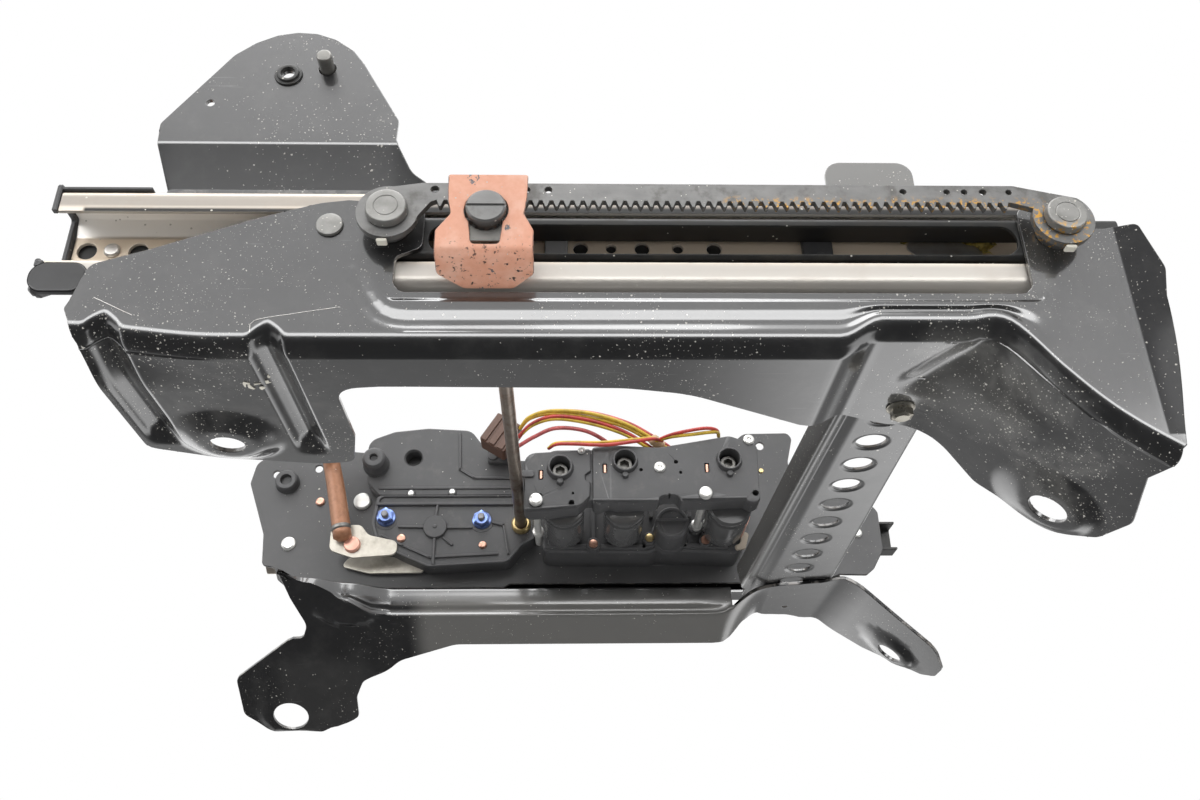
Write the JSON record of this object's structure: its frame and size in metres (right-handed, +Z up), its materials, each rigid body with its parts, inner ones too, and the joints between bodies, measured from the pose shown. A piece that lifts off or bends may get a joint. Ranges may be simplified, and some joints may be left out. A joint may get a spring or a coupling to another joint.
{
  "type": "powered seat slide rail assembly",
  "caption": "Powered seat slide: two pressed floor frames joined by a punched cross channel, with a rack, a pinion shaft, sliding rails and a motor unit on the carriage.",
  "frame": {"origin": "centre of the bounding box at its lowest level, which is the tip of the far left foot", "axes": "+X along the rails towards the rack's riveted right end, +Y from the near side frame to the far one, +Z up towards the seat"},
  "size_m": [0.5184, 0.4828, 0.2648],
  "materials": {
    "black_paint": "gloss black paint over pressed steel, dusty and scratched",
    "rail_steel": "bare rail steel browned by age",
    "bright_steel": "satin zinc",
    "dark_steel": "dull phosphated steel",
    "red_oxide": "worn copper red coating",
    "black_plastic": "moulded, matt",
    "brown_rod": "brown coated steel",
    "copper": "copper coloured plating",
    "blue_zinc": "blue passivated zinc",
    "brown_plastic": "moulded, matt",
    "yellow_wire": "insulation",
    "red_wire": "insulation"
  },
  "bodies": {
    "floor_frame": {"near_side_frame": "black_paint", "near_guide_rail": "dark_steel", "pinion_rack": "dark_steel", "rack_spacer_left": "dark_steel", "rack_spacer_right": "dark_steel", "rack_rivet_left": "dark_steel", "rack_rivet_right": "dark_steel", "frame_rivet": "bright_steel", "cross_channel": "black_paint", "channel_flange_bolt": "bright_steel", "far_floor_frame": "black_paint", "far_guide_rail": "dark_steel", "far_rail_stand": "black_paint", "stand_rivet_left": "bright_steel", "stand_rivet_right": "bright_steel", "stand_spacer": "dark_steel"},
    "carriage": {"near_upper_rail": "rail_steel", "near_rail_end_cap": "black_plastic", "rail_web_rivet": "bright_steel", "hinge_bracket": "black_paint", "bracket_collar": "dark_steel", "bracket_pin": "bright_steel", "rail_top_tab": "black_paint", "pinion_bracket": "red_oxide", "keyed_plate": "bright_steel", "slide_block": "black_plastic", "stop_block": "black_plastic", "slide_tongue": "bright_steel", "far_upper_rail": "rail_steel", "far_carrier_plate": "black_paint", "carrier_bush": "black_plastic", "carrier_rivet": "bright_steel", "carrier_washer": "bright_steel", "gear_cover": "black_plastic", "gear_housing": "black_plastic", "cover_nut_left": "blue_zinc", "cover_nut_right": "blue_zinc", "cover_bush": "black_plastic", "drive_housing": "black_plastic", "motor_left": "black_plastic", "motor_middle": "black_plastic", "motor_right": "black_plastic", "gear_block": "black_plastic", "housing_bolt_left": "bright_steel", "housing_bolt_right": "bright_steel", "shaft_bush": "bright_steel", "cross_rod": "brown_rod", "lever_plate": "bright_steel", "lever_rivet": "copper", "wire_connector": "brown_plastic", "wire_yellow": "yellow_wire", "wire_red": "red_wire", "wire_pink": "red_wire"},
    "sync_shaft": {"drive_pinion": "dark_steel", "sync_shaft": "bright_steel"},
    "drive_coupling_left": {"drive_coupling_left": "dark_steel"},
    "drive_coupling_middle": {"drive_coupling_middle": "dark_steel"},
    "drive_coupling_right": {"drive_coupling_right": "dark_steel"}
  },
  "joints": [
    {"name": "carriage_slide", "type": "slide", "parent": "floor_frame", "child": "carriage", "axis": [1, 0, 0], "range_m": [-0.006, 0.215]},
    {"name": "shaft_turn", "type": "hinge", "parent": "carriage", "child": "sync_shaft", "pos_m": [-0.04644, -0.21945, 0.1327], "axis": [0, 1, 0], "range_deg": [-1500, 45]},
    {"name": "left_coupling_turn", "type": "hinge", "parent": "carriage", "child": "drive_coupling_left", "pos_m": [-0.01664, 0.06355, 0.14325], "axis": [0, 1, 0], "continuous": true},
    {"name": "middle_coupling_turn", "type": "hinge", "parent": "carriage", "child": "drive_coupling_middle", "pos_m": [0.02816, 0.06355, 0.14785], "axis": [0, 1, 0], "continuous": true},
    {"name": "right_coupling_turn", "type": "hinge", "parent": "carriage", "child": "drive_coupling_right", "pos_m": [0.10056, 0.06355, 0.14875], "axis": [0, 1, 0], "continuous": true}
  ],
  "couplings": [
    {"joint": "shaft_turn", "follows": "carriage_slide", "rad_per_m": -121.22}
  ]
}
